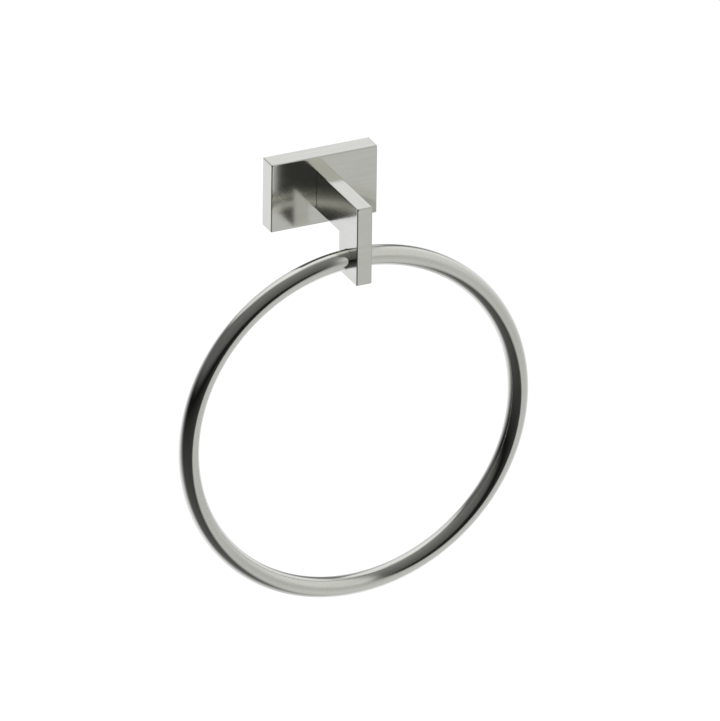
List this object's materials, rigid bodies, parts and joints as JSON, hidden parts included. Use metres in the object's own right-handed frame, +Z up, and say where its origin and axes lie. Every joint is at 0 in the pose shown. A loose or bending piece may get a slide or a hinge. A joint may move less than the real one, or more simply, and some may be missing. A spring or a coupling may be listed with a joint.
{
  "type": "towel ring",
  "caption": "Wall-mounted towel ring: hollow rectangular cover plate on a hidden bracket, inverted-L arm of flat bar, and a large round ring through the arm's leg.",
  "frame": {"origin": "centre of the plate's back, on the wall", "axes": "+Z up, +X right as seen from the room, +Y into the wall; the object stands out to -Y"},
  "size_m": [0.1976, 0.06, 0.2334],
  "materials": {
    "plate_metal": "satin nickel: fine straight brush lines, soft reflections, brushed left to right",
    "arm_metal": "satin nickel: fine straight brush lines, soft reflections, brushed along the bar",
    "ring_metal": "satin nickel: fine straight brush lines, soft reflections, polished round the bar",
    "bracket_steel": "bright zinc on pressed steel",
    "screw_steel": "plain stainless steel"
  },
  "bodies": {
    "root": {"cover_plate": "plate_metal", "wall_bracket": "bracket_steel", "arm": "arm_metal", "ring": "ring_metal", "arm_screws": "screw_steel", "locking_screw": "screw_steel", "ring_screw": "screw_steel"}
  },
  "joints": []
}
